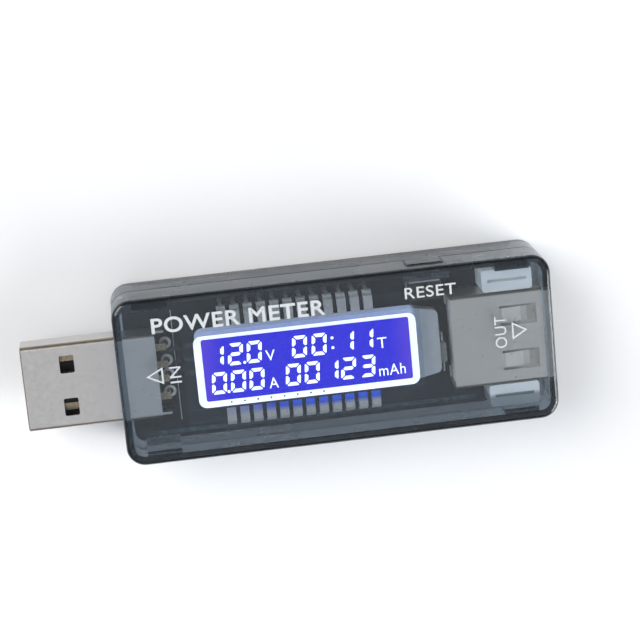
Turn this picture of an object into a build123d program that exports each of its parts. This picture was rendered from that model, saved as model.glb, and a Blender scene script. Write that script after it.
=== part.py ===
"""Inline power meter for a serial-bus port, as an assembly of separate sub-parts.

A flat translucent casing in two snapped halves holds a circuit board with a standard-A plug at one
end, a standard-A socket at the other, a pin-mounted backlit display between them and a side-pushed
reset switch.  Units are millimetres.

Frame: +X runs from the plug to the socket, +Z out of the display face, +Y to the reset side.  The
origin is the bottom centre of the whole object's box, so the back of the casing lies on Z = 0.
"""

import os

from build123d import *

os.makedirs("parts", exist_ok=True)

# ---------------------------------------------------------------- driving dimensions

# casing
body_length = 60.4
body_width = 23.4
body_height = 12.0
wall = 1.1
face_thickness = 1.2
corner_radius = 2.6
edge_radius = 0.8
parting_chamfer = 0.12
lip_thickness = 0.55
lip_height = 0.95
moulding_gap = 0.08

# snap lugs that hold the halves together
lug_length = 4.8
lug_thickness = 0.6
lug_end_distance = 1.7
lug_gap = 0.1
barb_depth = 0.4
barb_height = 0.8
barb_length = 3.4
barb_start = 0.4
barb_ramp = 0.55

# circuit board
board_thickness = 1.0
underside_room = 1.6
board_gap = 0.25
ledge_width = 0.9
pad_thickness = 0.05
hole_gap = 0.15
solder_height = 0.4
solder_crown = 0.1

# plug
plug_reach = 13.0
plug_length = 18.5
plug_width = 12.0
plug_height = 4.5
plug_sheet = 0.3
plug_corner = 0.6
plug_lead_in = 0.15
plug_leg_length = 0.9
window_length = 2.0
window_width = 2.5
window_corner = 0.25
window_from_tip = 5.2
window_pitch = 6.1
plug_insulator_height = 1.9
plug_insulator_chamfer = 0.35
plug_recess = 0.6
plug_block_length = 6.0
insulator_gap = 0.3
power_contact_start = 1.4
data_contact_start = 2.4
plug_tail_distance = 1.4

# socket
socket_length = 14.0
socket_width = 13.14
socket_height = 5.7
socket_sheet = 0.3
socket_corner = 0.5
socket_leg_length = 1.6
socket_leg_distances = (3.2, 9.2)
tongue_width = 11.1
tongue_thickness = 1.84
tongue_setback = 0.9
tongue_roof_gap = 0.6
tongue_chamfer = 0.3
socket_base_length = 3.2
socket_base_gap = 0.2
socket_tail_distance = 1.5
contact_bow = 0.35
finger_width = 2.1
side_finger_width = 1.7
finger_length = 4.8
finger_slot = 0.35
finger_pitch = 6.4
finger_from_mouth = 2.0
finger_dip = 0.42
finger_sheet = 0.24

# contacts of the plug and the socket
contact_rows = (-3.5, -1.0, 1.0, 3.5)
power_rows = (-3.5, 3.5)
contact_width = 1.0
contact_sheet = 0.2
tail_width = 0.6
tail_below_board = 0.6
pad_rim = 0.4

# display
view_length = 28.8
view_width = 8.8
view_from_shoulder = 26.1
view_offset = 0.2
view_corner = 0.3
display_gap = 1.4
rear_glass_length = 33.2
rear_glass_width = 15.2
front_glass_width = 11.0
glass_shift = -0.5
glass_thickness = 0.7
polariser_thickness = 0.15
reflector_thickness = 0.15

# light guide and its lamp
guide_border = 0.75
guide_thickness = 2.0
guide_corner = 1.2
guide_tail_length = 3.6
guide_tail_end = 8.8
guide_tail_corner = 0.8
lamp_length = 2.8
lamp_depth = 0.9
lamp_height = 1.3
lamp_chamfer = 0.2
lamp_offset = -1.6
lead_width = 0.45
lead_sheet = 0.2
lead_reach = 1.2

# display pins
pin_count = 12
pin_pitch = 1.84
pin_shift = -1.0
pin_width = 1.25
pin_sheet = 0.2
pin_bend = 0.3
pin_finger = 1.8
pin_under_finger = 0.9
pin_jog = 0.5
pin_leg_width = 0.5
pin_below_board = 0.7

# reset button
button_from_shoulder = 43.4
button_width = 5.0
button_height = 3.8
button_gap = 0.12
button_proud = 0.2
button_edge = 0.25
button_travel = 0.35
flange_width = 0.6
flange_thickness = 0.8
flange_gap = 0.05
stem_width = 2.4
stem_reach = 0.35

# reset switch
switch_width = 4.5
switch_depth = 2.8
switch_height = 3.4
switch_corner = 0.3
switch_plate = 0.2
switch_arm_length = 2.0
switch_arm_height = 1.4
terminal_width = 0.6
terminal_height = 1.2
terminal_sheet = 0.15
terminal_foot = 0.7
terminal_inset = 0.7
plunger_radius = 0.85
plunger_rise = 0.2
plunger_out = 0.5
plunger_collar = 0.4
plunger_gap = 0.06
plunger_edge = 0.15
collar_radius = 1.25
dome_radius = 1.5
dome_sheet = 0.08
dome_pressed_height = 0.15
dome_gap = 0.02

# blocks beside the socket
spacer_length = 7.0
spacer_gap = 0.1
spacer_end_gap = 1.2
spacer_top_gap = 0.2
spacer_corner = 0.4
groove_count = 1
groove_width = 0.4
groove_depth = 0.5
groove_end = 0.8

# parts on the board's underside
package_gap = 0.1
package_height = 1.2
controller_size = 7.0
controller_corner = 0.25
controller_shift = -1.0
dimple_radius = 0.35
dimple_depth = 0.08
controller_leads_per_side = 12
controller_lead_pitch = 0.5
memory_length = 4.9
memory_width = 3.9
memory_place = (11.5, 3.4)
memory_lead_pitch = 1.27
regulator_length = 2.9
regulator_width = 1.6
regulator_place = (-11.5, 3.2)
regulator_lead_pitch = 0.95
package_chamfer = 0.15
shunt_length = 6.4
shunt_width = 3.2
shunt_end = 0.7
shunt_place = (-11.5, -3.2)
chip_length = 2.0
chip_width = 1.25
chip_end = 0.4
chip_thickness = 0.6
capacitor_thickness = 0.85
chip_relief = 0.03
capacitor_places = ((6.0, 3.0), (6.0, -3.0), (-7.6, 5.2), (-16.5, 3.4))
resistor_places = ((10.2, -1.6), (10.2, -3.4), (13.4, -1.6), (13.4, -3.4), (-7.4, -5.4), (6.0, -5.4))

# ---------------------------------------------------------------- places worked out from them

total_length = plug_reach + body_length
x_tip = -total_length / 2
x_shoulder = x_tip + plug_reach
x_mouth = x_shoulder + body_length
x_body = (x_shoulder + x_mouth) / 2

inner_side = body_width / 2 - wall
inner_length = body_length - 2 * wall
inner_width = body_width - 2 * wall
inner_corner = corner_radius - wall
ceiling = body_height - face_thickness
parting_height = body_height / 2
merge = 0.1
past = 1.0

board_bottom = face_thickness + underside_room
board_top = board_bottom + board_thickness
board_length = inner_length - 2 * board_gap
board_width = inner_width - 2 * board_gap

plug_top = board_top + plug_height
plug_mid = board_top + plug_height / 2
plug_inner_end = x_tip + plug_length
plug_clear_width = plug_width - 2 * plug_sheet
plug_clear_height = plug_height - 2 * plug_sheet
plug_contact_z = board_top + plug_sheet + plug_insulator_height
plug_tail_x = plug_inner_end + plug_tail_distance
plug_leg_x = plug_inner_end + plug_leg_length
plug_leg_y = plug_width / 2 - plug_sheet / 2

socket_top = board_top + socket_height
socket_mid = board_top + socket_height / 2
socket_back = x_mouth - socket_length
socket_clear_width = socket_width - 2 * socket_sheet
socket_clear_height = socket_height - 2 * socket_sheet
socket_base_start = socket_back + socket_base_gap
socket_base_end = socket_base_start + socket_base_length
socket_tail_x = socket_back + socket_tail_distance
socket_leg_xs = [socket_back + distance for distance in socket_leg_distances]
socket_leg_y = socket_width / 2 - socket_sheet / 2
tongue_end = x_mouth - tongue_setback
tongue_top = socket_top - socket_sheet - tongue_roof_gap
tongue_bottom = tongue_top - tongue_thickness
finger_end = x_mouth - finger_from_mouth
finger_start = finger_end - finger_slot - finger_length

view_x = x_shoulder + view_from_shoulder
glass_x = view_x + glass_shift
display_top = ceiling - display_gap
front_polariser_bottom = display_top - polariser_thickness
front_glass_bottom = front_polariser_bottom - glass_thickness
rear_glass_bottom = front_glass_bottom - glass_thickness
rear_polariser_bottom = rear_glass_bottom - polariser_thickness
guide_bottom = rear_polariser_bottom - guide_thickness
guide_length = view_length + 2 * guide_border
guide_width = view_width + 2 * guide_border
guide_end = view_x + guide_length / 2
guide_tail_x = guide_end + guide_tail_length
lamp_x = guide_tail_x + lamp_depth / 2
lamp_z = guide_bottom + guide_thickness / 2
lead_ys = [lamp_offset + side * (lamp_length / 2 + lead_reach) for side in (-1, 1)]

pin_xs = [view_x + pin_shift + (i - (pin_count - 1) / 2) * pin_pitch for i in range(pin_count)]
pin_leg_y = rear_glass_width / 2 + pin_bend + pin_jog

button_x = x_shoulder + button_from_shoulder
button_bottom = parting_height + button_gap / 2
button_top = button_bottom + button_height
flange_outer = inner_side - flange_gap
flange_inner = flange_outer - flange_thickness
plunger_z = board_top + switch_height / 2 + plunger_rise
plunger_tip = flange_inner - stem_reach
switch_front = plunger_tip - plunger_out
switch_back = switch_front - switch_depth
switch_top = board_top + switch_height
bore_mouth = switch_front - switch_plate
bore_depth = plunger_collar + button_travel + dome_pressed_height
dome_rim_y = bore_mouth - bore_depth
dome_crown_y = bore_mouth - plunger_collar - dome_gap

lug_reach = wall + lug_end_distance + lug_length / 2
lug_xs = (x_shoulder + lug_reach, x_mouth - lug_reach)
lug_bottom = board_top + lug_gap
lug_outer = inner_side - lug_gap
barb_bottom = lug_bottom + barb_start
barb_top = barb_bottom + barb_height

spacer_inner = socket_width / 2 + spacer_gap
spacer_outer = lug_outer - lug_thickness - spacer_gap
spacer_end = x_mouth - wall - spacer_end_gap
spacer_start = spacer_end - spacer_length
spacer_top = socket_top - spacer_top_gap

package_top = board_bottom - package_gap
package_bottom = package_top - package_height
lead_z = package_top - package_height / 2
lead_drop = board_bottom - lead_z

# through holes: places of the round-holed leads and of the slotted legs
pin_places = [(x, view_offset + side * pin_leg_y) for x in pin_xs for side in (-1, 1)]
lead_places = [(lamp_x, y) for y in lead_ys]
plug_tail_places = [(plug_tail_x, row) for row in contact_rows]
socket_tail_places = [(socket_tail_x, row) for row in contact_rows]
plug_leg_places = [(plug_leg_x, side * plug_leg_y) for side in (-1, 1)]
socket_leg_places = [(x, side * socket_leg_y) for x in socket_leg_xs for side in (-1, 1)]
pin_hole_radius = pin_leg_width / 2 + hole_gap
tail_hole_radius = tail_width / 2 + hole_gap


# ---------------------------------------------------------------- shared operations


def block(x, y, z, mode=Mode.ADD):
    """A box between the limits given as pairs, in either order."""
    with Locations(((x[0] + x[1]) / 2, (y[0] + y[1]) / 2, (z[0] + z[1]) / 2)):
        Box(abs(x[1] - x[0]), abs(y[1] - y[0]), abs(z[1] - z[0]), mode=mode)


def around(centre, width):
    """The pair of limits that a width has when it is centred."""
    return (centre - width / 2, centre + width / 2)


def rounded_plate(height, x, y, length, width, radius, amount, mode=Mode.ADD):
    """A flat plate with rounded corners, lying at a height and extruded by an amount."""
    with BuildSketch(Plane.XY.offset(height)) as outline:
        with Locations((x, y)):
            RectangleRounded(length, width, radius)
    extrude(outline.sketch, amount=amount, mode=mode)


def rounded_tube(x, z, length, width, height, radius, sheet):
    """A sheet-metal tube along X, open at both ends."""
    with BuildSketch(Plane.YZ.offset(x)) as outline:
        with Locations((0, z)):
            RectangleRounded(width, height, radius)
            RectangleRounded(width - 2 * sheet, height - 2 * sheet, radius - sheet, mode=Mode.SUBTRACT)
    extrude(outline.sketch, amount=length)


def prism(plane, points, amount):
    """A closed outline on a plane, extruded by an amount."""
    with BuildSketch(plane) as outline:
        with BuildLine():
            Polyline(*points, close=True)
        make_face()
    extrude(outline.sketch, amount=amount)


def save(builder, name):
    """Labels a finished sub-part and writes it to its own file."""
    builder.part.label = name
    export_step(builder.part, f"parts/{name}.step")


def port_openings(lowest, highest):
    """Cuts the mouths for the plug and the socket through the end walls, between two heights."""
    plug_mouth = around(0, plug_width + 2 * moulding_gap)
    socket_mouth = around(0, socket_width + 2 * moulding_gap)
    block((x_shoulder - past, x_shoulder + wall + merge), plug_mouth,
          (lowest, min(highest, plug_top + moulding_gap)), Mode.SUBTRACT)
    block((x_mouth - wall - merge, x_mouth + past), socket_mouth,
          (lowest, min(highest, socket_top + moulding_gap)), Mode.SUBTRACT)


# ---------------------------------------------------------------- casing

with BuildPart() as front_cover:
    rounded_plate(parting_height, x_body, 0, body_length, body_width, corner_radius, body_height - parting_height)
    fillet(front_cover.faces().sort_by(Axis.Z)[-1].edges(), edge_radius)
    chamfer(front_cover.faces().sort_by(Axis.Z)[0].edges(), parting_chamfer)
    rounded_plate(parting_height, x_body, 0, inner_length, inner_width, inner_corner,
                  ceiling - parting_height, Mode.SUBTRACT)
    # rebate for the rear cover's lip
    rebate = lip_thickness + moulding_gap
    rebate_top = parting_height + lip_height + moulding_gap
    rounded_plate(parting_height, x_body, 0, inner_length + 2 * rebate, inner_width + 2 * rebate,
                  inner_corner + rebate, rebate_top - parting_height, Mode.SUBTRACT)
    # snap lugs, joined to the wall above the lip and free below it
    for lug_x in lug_xs:
        for side in (-1, 1):
            block(around(lug_x, lug_length), (side * (lug_outer - lug_thickness), side * lug_outer),
                  (lug_bottom, ceiling + merge))
            block(around(lug_x, lug_length), (side * (lug_outer - merge), side * (inner_side + merge)),
                  (rebate_top + lug_gap, ceiling + merge))
            barb = [
                (side * (lug_outer - merge), barb_bottom),
                (side * lug_outer, barb_bottom),
                (side * (lug_outer + barb_depth), barb_bottom + barb_ramp),
                (side * (lug_outer + barb_depth), barb_top),
                (side * (lug_outer - merge), barb_top),
            ]
            prism(Plane.YZ.offset(lug_x - barb_length / 2), barb, barb_length)
    port_openings(parting_height - past, body_height)
    block(around(button_x, button_width + 2 * button_gap), (inner_side - merge, body_width / 2 + past),
          (parting_height - past, button_top + button_gap), Mode.SUBTRACT)
save(front_cover, "front_cover")

with BuildPart() as rear_cover:
    rounded_plate(0, x_body, 0, body_length, body_width, corner_radius, parting_height)
    fillet(rear_cover.faces().sort_by(Axis.Z)[0].edges(), edge_radius)
    chamfer(rear_cover.faces().sort_by(Axis.Z)[-1].edges(), parting_chamfer)
    # lip that fits the front cover's rebate
    rounded_plate(parting_height, x_body, 0, inner_length + 2 * lip_thickness, inner_width + 2 * lip_thickness,
                  inner_corner + lip_thickness, lip_height)
    rounded_plate(face_thickness, x_body, 0, inner_length, inner_width, inner_corner, body_height, Mode.SUBTRACT)
    lip_top = parting_height + lip_height
    lip_depth = (inner_side - merge, inner_side + lip_thickness + moulding_gap / 2)
    for side in (-1, 1):
        # ledge that carries the board
        ledge = (side * (inner_side - ledge_width), side * (inner_side + merge))
        block(around(x_body, inner_length - 2 * corner_radius), ledge, (face_thickness - merge, board_bottom))
        # room for each lug in the lip, and a pocket for its barb
        for lug_x in lug_xs:
            block(around(lug_x, lug_length + 2 * lug_gap), (side * lip_depth[0], side * lip_depth[1]),
                  (parting_height, lip_top + past), Mode.SUBTRACT)
            block(around(lug_x, barb_length + 2 * lug_gap),
                  (side * (inner_side - merge), side * (lug_outer + barb_depth + lug_gap)),
                  (barb_bottom - lug_gap, barb_top + lug_gap / 2), Mode.SUBTRACT)
    port_openings(board_top - moulding_gap, body_height)
    # gap in the lip behind the reset button
    block(around(button_x, button_width + 2 * flange_width + 2 * button_gap), lip_depth,
          (parting_height, lip_top + past), Mode.SUBTRACT)
save(rear_cover, "rear_cover")

# ---------------------------------------------------------------- reset button and switch

with BuildPart() as reset_button:
    # face that fills the opening
    block(around(button_x, button_width), (flange_outer, body_width / 2 + button_proud), (button_bottom, button_top))
    fillet(reset_button.faces().sort_by(Axis.Y)[-1].edges(), button_edge)
    # flange that keeps it in, and stem that meets the plunger
    block(around(button_x, button_width + 2 * flange_width), (flange_inner, flange_outer + flange_gap),
          (button_bottom - flange_width, button_top + flange_width))
    block(around(button_x, stem_width), (plunger_tip, flange_inner + merge),
          (plunger_z - stem_width / 4, button_bottom + button_height / 2))
save(reset_button, "reset_button")

with BuildPart() as switch_body:
    block(around(button_x, switch_width), (switch_back, bore_mouth), (board_top, switch_top))
    fillet(switch_body.edges().filter_by(Axis.Y), switch_corner)
    # bore for the plunger's collar and the dome
    with BuildSketch(Plane.XZ.offset(-bore_mouth)):
        with Locations((button_x, plunger_z)):
            Circle(dome_radius + plunger_gap)
    extrude(amount=bore_depth, mode=Mode.SUBTRACT)
save(switch_body, "switch_body")

with BuildPart() as switch_cover:
    block(around(button_x, switch_width), (bore_mouth, switch_front), (board_top + switch_plate, switch_top))
    fillet(switch_cover.edges().filter_by(Axis.Y), switch_corner)
    # arms folded back along the moulding's sides
    arm_bottom = plunger_z - switch_arm_height
    for side in (-1, 1):
        flank = button_x + side * switch_width / 2
        block((flank, flank + side * switch_plate), (switch_front - switch_arm_length, switch_front),
              (arm_bottom, arm_bottom + switch_arm_height))
        block((flank - side * switch_corner, flank + side * switch_plate), (bore_mouth, switch_front),
              (arm_bottom, arm_bottom + switch_arm_height))
    with BuildSketch(Plane.XZ.offset(-switch_front)):
        with Locations((button_x, plunger_z)):
            Circle(plunger_radius + plunger_gap)
    extrude(amount=switch_plate, mode=Mode.SUBTRACT)
save(switch_cover, "switch_cover")

with BuildPart() as switch_plunger:
    with BuildSketch(Plane.XZ.offset(-plunger_tip)):
        with Locations((button_x, plunger_z)):
            Circle(plunger_radius)
    extrude(amount=plunger_tip - bore_mouth + plunger_collar)
    fillet(switch_plunger.edges().sort_by(Axis.Y)[-1], plunger_edge)
    with BuildSketch(Plane.XZ.offset(-(bore_mouth - dome_gap))):
        with Locations((button_x, plunger_z)):
            Circle(collar_radius)
    extrude(amount=plunger_collar - dome_gap)
save(switch_plunger, "switch_plunger")

with BuildPart() as switch_dome:
    # sprung disc, bowed towards the plunger
    with BuildSketch(Plane.XY.offset(plunger_z)):
        with BuildLine():
            outer = TangentArc((button_x, dome_crown_y), (button_x + dome_radius, dome_rim_y + dome_sheet),
                               tangent=(1, 0))
            inner = TangentArc((button_x, dome_crown_y - dome_sheet), (button_x + dome_radius, dome_rim_y),
                               tangent=(1, 0))
            Line(outer @ 0, inner @ 0)
            Line(outer @ 1, inner @ 1)
        make_face()
    revolve(axis=Axis((button_x, 0, plunger_z), (0, 1, 0)))
save(switch_dome, "switch_dome")

with BuildPart() as switch_terminals:
    for side in (-1, 1):
        span = around(button_x + side * (switch_width / 2 - terminal_inset), terminal_width)
        block(span, (switch_back - terminal_sheet, switch_back), (board_top, board_top + terminal_height))
        block(span, (switch_back - terminal_foot, switch_back), (board_top, board_top + terminal_sheet))
save(switch_terminals, "switch_terminals")

# ---------------------------------------------------------------- circuit board

with BuildPart() as circuit_board:
    with BuildSketch(Plane.XY.offset(board_bottom)):
        with Locations((x_body, 0)):
            RectangleRounded(board_length, board_width, inner_corner)
        with Locations(*pin_places, *lead_places):
            Circle(pin_hole_radius, mode=Mode.SUBTRACT)
        with Locations(*plug_tail_places, *socket_tail_places):
            Circle(tail_hole_radius, mode=Mode.SUBTRACT)
        with Locations(*plug_leg_places):
            SlotOverall(plug_leg_length + 4 * hole_gap, plug_sheet + 2 * hole_gap, mode=Mode.SUBTRACT)
        with Locations(*socket_leg_places):
            SlotOverall(socket_leg_length + 4 * hole_gap, socket_sheet + 2 * hole_gap, mode=Mode.SUBTRACT)
    extrude(amount=board_thickness)
save(circuit_board, "circuit_board")


def ring_pads(height, places, hole_radius):
    """Plated rings round through holes, lying at a height."""
    with BuildSketch(Plane.XY.offset(height)) as rings:
        with Locations(*places):
            Circle(hole_radius + pad_rim)
            Circle(hole_radius, mode=Mode.SUBTRACT)
    extrude(rings.sketch, amount=pad_thickness)


pad_bottom = board_bottom - pad_thickness

with BuildPart() as board_pads:
    ring_pads(board_top, plug_tail_places, tail_hole_radius)
    ring_pads(pad_bottom, plug_tail_places + socket_tail_places, tail_hole_radius)
    ring_pads(pad_bottom, pin_places + lead_places, pin_hole_radius)
save(board_pads, "board_pads")

with BuildPart() as solder_joints:
    # cones of solder round each lead under the board
    for places, hole_radius in ((pin_places + lead_places, pin_hole_radius), (socket_tail_places, tail_hole_radius)):
        with Locations(*[(x, y, pad_bottom - solder_height / 2) for x, y in places]):
            Cone(hole_radius + solder_crown, hole_radius + pad_rim, solder_height)
            Cylinder(hole_radius, 2 * solder_height, mode=Mode.SUBTRACT)
save(solder_joints, "solder_joints")

# ---------------------------------------------------------------- plug

with BuildPart() as plug_shell:
    rounded_tube(x_tip, plug_mid, plug_length, plug_width, plug_height, plug_corner, plug_sheet)
    chamfer(plug_shell.faces().sort_by(Axis.X)[0].outer_wire().edges(), plug_lead_in)
    # retention windows through both wide faces
    with BuildSketch(Plane.XY.offset(board_top - past)):
        with Locations((x_tip + window_from_tip + window_length / 2, 0)):
            with GridLocations(window_length, window_pitch, 1, 2):
                RectangleRounded(window_length, window_width, window_corner)
    extrude(amount=plug_height + 2 * past, mode=Mode.SUBTRACT)
    # legs at the back, down through the board
    for leg_x, leg_y in plug_leg_places:
        block((plug_inner_end - plug_leg_length, leg_x + plug_leg_length / 2), around(leg_y, plug_sheet),
              around(plug_mid, plug_height / 3))
        block(around(leg_x, plug_leg_length), around(leg_y, plug_sheet), (board_bottom - tail_below_board, plug_mid))
save(plug_shell, "plug_shell")

with BuildPart() as plug_insulator:
    insulator_width = plug_clear_width - 2 * insulator_gap
    insulator_bottom = board_top + plug_sheet
    block((x_tip + plug_recess, plug_inner_end), around(0, insulator_width), (insulator_bottom, plug_contact_z))
    front_edge = plug_insulator.edges().filter_by(Axis.Y).group_by(Axis.X)[0].sort_by(Axis.Z)[-1]
    chamfer(front_edge, plug_insulator_chamfer)
    block((plug_inner_end - plug_block_length, plug_inner_end), around(0, insulator_width),
          (insulator_bottom, insulator_bottom + plug_clear_height))
    # channels that the contacts run through
    for row in contact_rows:
        block((plug_inner_end - plug_block_length - past, plug_inner_end + past), around(row, contact_width),
              (plug_contact_z, plug_contact_z + contact_sheet), Mode.SUBTRACT)
save(plug_insulator, "plug_insulator")

with BuildPart() as plug_contacts:
    for row in contact_rows:
        start = x_tip + (power_contact_start if row in power_rows else data_contact_start)
        block((start, plug_tail_x + contact_sheet / 2), around(row, contact_width),
              (plug_contact_z, plug_contact_z + contact_sheet))
        block(around(plug_tail_x, contact_sheet), around(row, tail_width),
              (board_bottom - tail_below_board, plug_contact_z + contact_sheet))
save(plug_contacts, "plug_contacts")

# ---------------------------------------------------------------- socket


def finger_outline(surface, inward):
    """Side view of a sprung finger: flat root, dip into the socket, lifted tip."""
    dip = finger_dip * inward
    sheet = finger_sheet * inward
    crest = finger_start + finger_length * 0.62
    fall = finger_start + finger_length * 0.8
    tip = finger_start + finger_length
    return [
        (finger_start - merge, surface),
        (finger_start + finger_slot, surface),
        (crest, surface + dip),
        (fall, surface + dip),
        (tip, surface + dip / 3),
        (tip, surface + dip / 3 + sheet),
        (fall, surface + dip + sheet),
        (crest, surface + dip + sheet),
        (finger_start + finger_slot, surface + sheet),
        (finger_start - merge, surface + sheet),
    ]


with BuildPart() as socket_shell:
    rounded_tube(socket_back, socket_mid, socket_length, socket_width, socket_height, socket_corner, socket_sheet)
    # openings round the fingers, two in each wide face and one in each side
    opening = (finger_start, finger_end)
    for side in (-1, 1):
        block(opening, around(side * finger_pitch / 2, finger_width + 2 * finger_slot),
              (board_top - past, socket_top + past), Mode.SUBTRACT)
    block(opening, around(0, socket_width + 2 * past), around(socket_mid, side_finger_width + 2 * finger_slot),
          Mode.SUBTRACT)
    for side in (-1, 1):
        near_edge = side * finger_pitch / 2 + finger_width / 2
        for surface, inward in ((socket_top, -1), (board_top, 1)):
            prism(Plane.XZ.offset(-near_edge), finger_outline(surface, inward), finger_width)
        prism(Plane.XY.offset(socket_mid - side_finger_width / 2), finger_outline(side * socket_width / 2, -side),
              side_finger_width)
    # way out for the contact tails
    block((socket_back - past, socket_tail_x + contact_width), around(0, 2 * contact_rows[-1] + 2 * contact_width),
          (board_top - past, board_top + socket_sheet), Mode.SUBTRACT)
    # legs through the board
    for leg_x, leg_y in socket_leg_places:
        block(around(leg_x, socket_leg_length), around(leg_y, socket_sheet),
              (board_bottom - tail_below_board, board_top + socket_corner + socket_sheet))
save(socket_shell, "socket_shell")

with BuildPart() as socket_insulator:
    block((socket_base_start, socket_base_end), around(0, socket_clear_width - 2 * socket_base_gap),
          around(socket_mid, socket_clear_height))
    block((socket_base_end - merge, tongue_end), around(0, tongue_width), (tongue_bottom, tongue_top))
    chamfer(socket_insulator.faces().sort_by(Axis.X)[-1].edges(), tongue_chamfer)
    # a channel under the tongue for each contact, and a slot down through the base for its tail
    for row in contact_rows:
        bend_x = socket_tail_x - contact_sheet / 2
        block((bend_x, tongue_end - 4 * tongue_chamfer), around(row, contact_width),
              (tongue_bottom, tongue_bottom + contact_sheet), Mode.SUBTRACT)
        block((bend_x, bend_x + contact_sheet), around(row, contact_width),
              (board_top, tongue_bottom + contact_sheet), Mode.SUBTRACT)
save(socket_insulator, "socket_insulator")

with BuildPart() as socket_contacts:
    for row in contact_rows:
        bend_x = socket_tail_x - contact_sheet / 2
        root_x = socket_base_end + contact_width
        tip_x = tongue_end - (power_contact_start if row in power_rows else data_contact_start)
        bow = (tip_x - 2.6 * contact_width, tip_x - 1.6 * contact_width)
        # flat in its channel, then a shallow bow that the mating contact presses up
        strip = [
            (bend_x, tongue_bottom + contact_sheet),
            (root_x, tongue_bottom + contact_sheet),
            (bow[0], tongue_bottom + contact_sheet - contact_bow),
            (bow[1], tongue_bottom + contact_sheet - contact_bow),
            (tip_x, tongue_bottom + contact_sheet),
            (tip_x, tongue_bottom),
            (bow[1], tongue_bottom - contact_bow),
            (bow[0], tongue_bottom - contact_bow),
            (root_x, tongue_bottom),
            (bend_x, tongue_bottom),
        ]
        prism(Plane.XZ.offset(-(row + contact_width / 2)), strip, contact_width)
        block(around(socket_tail_x, contact_sheet), around(row, tail_width),
              (board_bottom - tail_below_board, tongue_bottom + contact_sheet))
save(socket_contacts, "socket_contacts")

for name, side in (("socket_spacer_right", 1), ("socket_spacer_left", -1)):
    with BuildPart() as spacer:
        # grooved block that fills the room between the socket and the long wall
        block((spacer_start, spacer_end), (side * spacer_inner, side * spacer_outer), (board_top, spacer_top))
        fillet(spacer.edges().filter_by(Axis.Z), spacer_corner)
        for i in range(groove_count):
            groove_y = side * (spacer_inner + (i + 1) * (spacer_outer - spacer_inner) / (groove_count + 1))
            block((spacer_start + groove_end, spacer_end - groove_end), around(groove_y, groove_width),
                  (spacer_top - groove_depth, spacer_top + past), Mode.SUBTRACT)
    save(spacer, name)

# ---------------------------------------------------------------- display

with BuildPart() as front_glass:
    with Locations((glass_x, view_offset, front_glass_bottom + glass_thickness / 2)):
        Box(rear_glass_length, front_glass_width, glass_thickness)
save(front_glass, "display_front_glass")

with BuildPart() as rear_glass:
    with Locations((glass_x, view_offset, rear_glass_bottom + glass_thickness / 2)):
        Box(rear_glass_length, rear_glass_width, glass_thickness)
save(rear_glass, "display_rear_glass")

for name, bottom in (("front_polariser", front_polariser_bottom), ("rear_polariser", rear_polariser_bottom)):
    with BuildPart() as polariser:
        rounded_plate(bottom, view_x, view_offset, view_length, view_width, view_corner, polariser_thickness)
    save(polariser, name)

with BuildPart() as light_guide:
    rounded_plate(guide_bottom, view_x, view_offset, guide_length, guide_width, guide_corner, guide_thickness)
    # tapered tail that gathers the lamp's light
    with BuildSketch(Plane.XY.offset(guide_bottom)) as tail_plan:
        with BuildLine():
            Polyline(
                (guide_end - 2 * guide_corner, view_offset + guide_width / 2),
                (guide_end, view_offset + guide_width / 2),
                (guide_tail_x, view_offset + guide_tail_end / 2),
                (guide_tail_x, view_offset - guide_tail_end / 2),
                (guide_end, view_offset - guide_width / 2),
                (guide_end - 2 * guide_corner, view_offset - guide_width / 2),
                close=True,
            )
        make_face()
        fillet(tail_plan.vertices().group_by(Axis.X)[-1], guide_tail_corner)
    extrude(amount=guide_thickness)
save(light_guide, "light_guide")

with BuildPart() as reflector:
    rounded_plate(guide_bottom - reflector_thickness, view_x, view_offset, guide_length, guide_width, guide_corner,
                  reflector_thickness)
save(reflector, "backlight_reflector")

with BuildPart() as lamp:
    block((guide_tail_x, guide_tail_x + lamp_depth), around(lamp_offset, lamp_length), around(lamp_z, lamp_height))
    chamfer(lamp.edges().filter_by(Axis.Z).group_by(Axis.X)[-1], lamp_chamfer)
save(lamp, "backlight_lamp")

with BuildPart() as lamp_leads:
    for side, lead_y in zip((-1, 1), lead_ys):
        elbow = lead_y + side * lead_width / 2
        block(around(lamp_x, lead_sheet), (lamp_offset + side * lamp_length / 2, elbow), around(lamp_z, lead_width))
        block(around(lamp_x, lead_sheet), (elbow - side * lead_width, elbow),
              (board_bottom - tail_below_board, lamp_z))
save(lamp_leads, "lamp_leads")

for name, side in (("display_pins_right", 1), ("display_pins_left", -1)):
    edge = view_offset + side * rear_glass_width / 2
    clip_inner = edge - side * pin_finger
    clip_y = edge + side * pin_bend
    leg_y = view_offset + side * pin_leg_y
    clip_z = front_glass_bottom + pin_sheet / 2
    shoulder_z = rear_glass_bottom - pin_sheet / 2
    shoulder_end = shoulder_z - 2 * pin_bend
    with BuildPart() as pins:
        for x in pin_xs:
            # strip bent over the glass edge, out over a shoulder and down
            with BuildSketch(Plane.YZ.offset(x - pin_width / 2)) as strip:
                with BuildLine():
                    FilletPolyline(
                        (clip_inner, clip_z),
                        (clip_y, clip_z),
                        (clip_y, shoulder_z),
                        (leg_y, shoulder_z),
                        (leg_y, shoulder_end),
                        radius=pin_bend - pin_sheet / 2,
                    )
                trace(line_width=pin_sheet)
            extrude(strip.sketch, amount=pin_width)
            block(around(x, pin_width), (edge - side * pin_under_finger, clip_y),
                  around(shoulder_z, pin_sheet))
            # narrow leg down through the board
            block(around(x, pin_leg_width), around(leg_y, pin_sheet), (board_bottom - pin_below_board, shoulder_end))
    save(pins, name)

# ---------------------------------------------------------------- parts on the board's underside


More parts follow.
